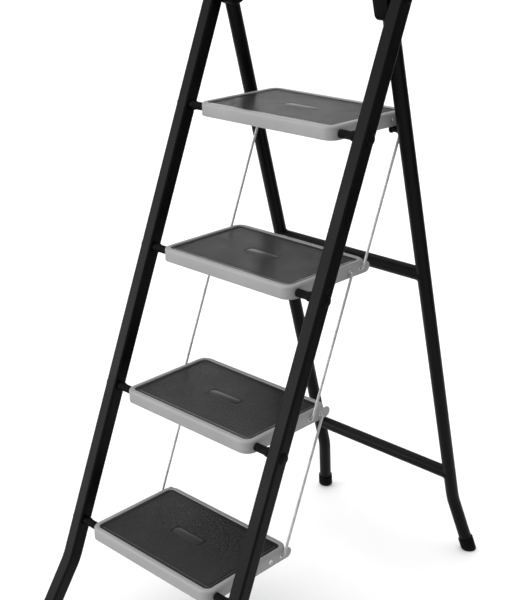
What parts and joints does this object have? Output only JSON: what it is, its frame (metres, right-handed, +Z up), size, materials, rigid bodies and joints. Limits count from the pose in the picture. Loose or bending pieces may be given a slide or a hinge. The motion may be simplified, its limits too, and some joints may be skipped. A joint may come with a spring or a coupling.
{
  "type": "step ladder",
  "caption": "Folding household step ladder with flat rubber-matted treads, black tube frames, wire links and a raised handrail.",
  "frame": {"origin": "on the floor, under the middle of the open ladder's bounding box", "axes": "+X to the climber's right, +Y to the rear frame, +Z up"},
  "size_m": [0.4888, 0.8068, 1.2532],
  "materials": {
    "frame_paint": "black powder coat, satin",
    "tread_paint": "mid grey powder coat, satin",
    "tread_mat": "matt ribbed rubber",
    "rubber": "matt moulded rubber",
    "black_plastic": "moulded black plastic",
    "link_wire": "bright zinc plated wire",
    "zinc_steel": "zinc plated"
  },
  "bodies": {
    "front_frame": {"front_upright_left": "frame_paint", "front_upright_right": "frame_paint", "handrail_bow": "frame_paint", "handrail_joiners": "zinc_steel", "handrail_screws": "zinc_steel", "handrail_grip": "rubber", "front_feet": "rubber", "hinge_bolts": "zinc_steel", "hinge_nuts": "zinc_steel", "hinge_washers": "black_plastic", "tread_bolts": "zinc_steel", "tread_bolt_nuts": "zinc_steel", "tread_spacers": "black_plastic", "tread_bolt_plugs": "black_plastic"},
    "rear_frame": {"rear_leg_left": "frame_paint", "rear_leg_right": "frame_paint", "rear_crossbar_upper": "frame_paint", "rear_crossbar_lower": "frame_paint", "hinge_knuckles": "black_plastic", "rest_studs": "frame_paint", "rear_feet": "rubber"},
    "step_1": {"step_1_pan": "tread_paint", "step_1_mat": "tread_mat"},
    "step_2": {"step_2_pan": "tread_paint", "step_2_mat": "tread_mat"},
    "step_3": {"step_3_pan": "tread_paint", "step_3_mat": "tread_mat"},
    "step_4": {"step_4_pan": "tread_paint", "step_4_mat": "tread_mat", "step_4_hook_left": "tread_paint", "step_4_hook_right": "tread_paint", "step_4_hook_rivets": "zinc_steel"},
    "link_lower": {"link_lower_left": "link_wire", "link_lower_right": "link_wire", "link_lower_clips": "zinc_steel"},
    "link_middle": {"link_middle_left": "link_wire", "link_middle_right": "link_wire", "link_middle_clips": "zinc_steel"},
    "link_upper": {"link_upper_left": "link_wire", "link_upper_right": "link_wire", "link_upper_clips": "zinc_steel"}
  },
  "joints": [
    {"name": "step_4_fold", "type": "hinge", "parent": "front_frame", "child": "step_4", "pos_m": [0, -0.01351, 0.925], "axis": [1, 0, 0], "range_deg": [0, 57]},
    {"name": "step_3_fold", "type": "hinge", "parent": "front_frame", "child": "step_3", "pos_m": [0, -0.10846, 0.69], "axis": [1, 0, 0], "range_deg": [0, 57]},
    {"name": "step_2_fold", "type": "hinge", "parent": "front_frame", "child": "step_2", "pos_m": [0, -0.2034, 0.455], "axis": [1, 0, 0], "range_deg": [0, 57]},
    {"name": "step_1_fold", "type": "hinge", "parent": "front_frame", "child": "step_1", "pos_m": [0, -0.29835, 0.22], "axis": [1, 0, 0], "range_deg": [0, 57]},
    {"name": "rear_frame_fold", "type": "hinge", "parent": "front_frame", "child": "rear_frame", "pos_m": [0, 0.06608, 1.122], "axis": [-1, 0, 0], "range_deg": [0, 32.05]},
    {"name": "link_upper_swing", "type": "hinge", "parent": "step_4", "child": "link_upper", "pos_m": [0, 0.14349, 0.925], "axis": [1, 0, 0], "range_deg": [-57, 0]},
    {"name": "link_middle_swing", "type": "hinge", "parent": "step_3", "child": "link_middle", "pos_m": [0, 0.02154, 0.69], "axis": [1, 0, 0], "range_deg": [-57, 0]},
    {"name": "link_lower_swing", "type": "hinge", "parent": "step_2", "child": "link_lower", "pos_m": [0, -0.0464, 0.455], "axis": [1, 0, 0], "range_deg": [-57, 0]}
  ],
  "couplings": [
    {"joint": "step_3_fold", "follows": "step_4_fold", "ratio": 1},
    {"joint": "step_2_fold", "follows": "step_4_fold", "ratio": 1},
    {"joint": "step_1_fold", "follows": "step_4_fold", "ratio": 1},
    {"joint": "rear_frame_fold", "follows": "step_4_fold", "ratio": 0.5614},
    {"joint": "link_upper_swing", "follows": "step_4_fold", "ratio": -1},
    {"joint": "link_middle_swing", "follows": "step_4_fold", "ratio": -1},
    {"joint": "link_lower_swing", "follows": "step_4_fold", "ratio": -1}
  ]
}
